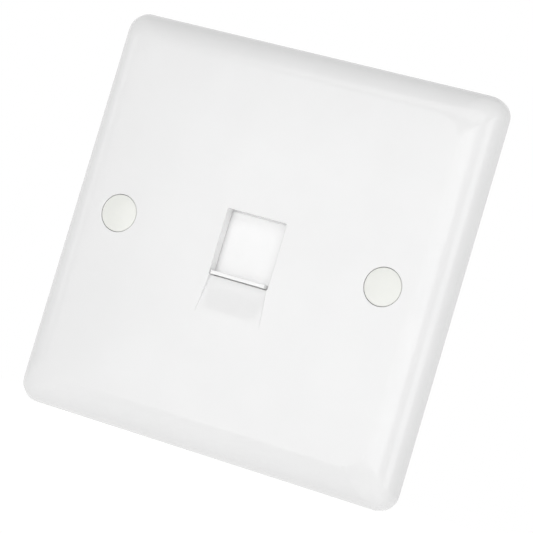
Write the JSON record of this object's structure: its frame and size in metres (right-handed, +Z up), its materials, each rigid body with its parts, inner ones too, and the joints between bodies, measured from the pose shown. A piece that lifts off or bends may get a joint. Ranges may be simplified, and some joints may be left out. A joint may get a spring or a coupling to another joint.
{
  "type": "ethernet wall socket",
  "caption": "Square wall plate with a recessed shuttered network port, capped fixing screws and rear wire terminals.",
  "frame": {"origin": "middle of the two fixing screws on the wall plane, where the plate's rear rim lies", "axes": "+X right and +Z up as seen from the front, +Y into the wall along the fixing screws"},
  "size_m": [0.086, 0.0312, 0.086],
  "materials": {
    "plate_plastic": "gloss moulded urea, white",
    "cap_plastic": "gloss moulded, warm white",
    "shutter_plastic": "satin moulded, white",
    "screw_steel": "bright zinc plated",
    "small_screw_steel": "bright zinc plated",
    "spring_steel": "drawn spring wire",
    "carrier_plastic": "fine matt moulded, white",
    "jack_plastic": "matt moulded, black",
    "insert_plastic": "matt moulded, black",
    "contact_gold": "gold plated strip",
    "board_laminate": "green solder mask",
    "terminal_plastic": "matt moulded, off-white",
    "blade_tin": "tin plated strip"
  },
  "bodies": {
    "socket": {"faceplate": "plate_plastic", "screw_cap_left": "cap_plastic", "screw_cap_right": "cap_plastic", "fixing_screw_left": "screw_steel", "fixing_screw_right": "screw_steel", "shutter_spring": "spring_steel", "module_carrier": "carrier_plastic", "carrier_screw_left": "small_screw_steel", "carrier_screw_right": "small_screw_steel", "jack_housing": "jack_plastic", "contact_insert": "insert_plastic", "circuit_board": "board_laminate", "idc_block_left": "terminal_plastic", "idc_block_right": "terminal_plastic", "contact_1": "contact_gold", "idc_blade_1": "blade_tin", "contact_2": "contact_gold", "idc_blade_2": "blade_tin", "contact_3": "contact_gold", "idc_blade_3": "blade_tin", "contact_4": "contact_gold", "idc_blade_4": "blade_tin", "contact_5": "contact_gold", "idc_blade_5": "blade_tin", "contact_6": "contact_gold", "idc_blade_6": "blade_tin", "contact_7": "contact_gold", "idc_blade_7": "blade_tin", "contact_8": "contact_gold", "idc_blade_8": "blade_tin"},
    "shutter": {"shutter": "shutter_plastic"}
  },
  "joints": [
    {"name": "shutter_slide", "type": "slide", "parent": "socket", "child": "shutter", "axis": [0, 0, 1], "range_m": [0, 0.0124], "stiffness_N_per_m": 80, "springref_m": -0.004, "deforming": ["shutter_spring"]}
  ]
}
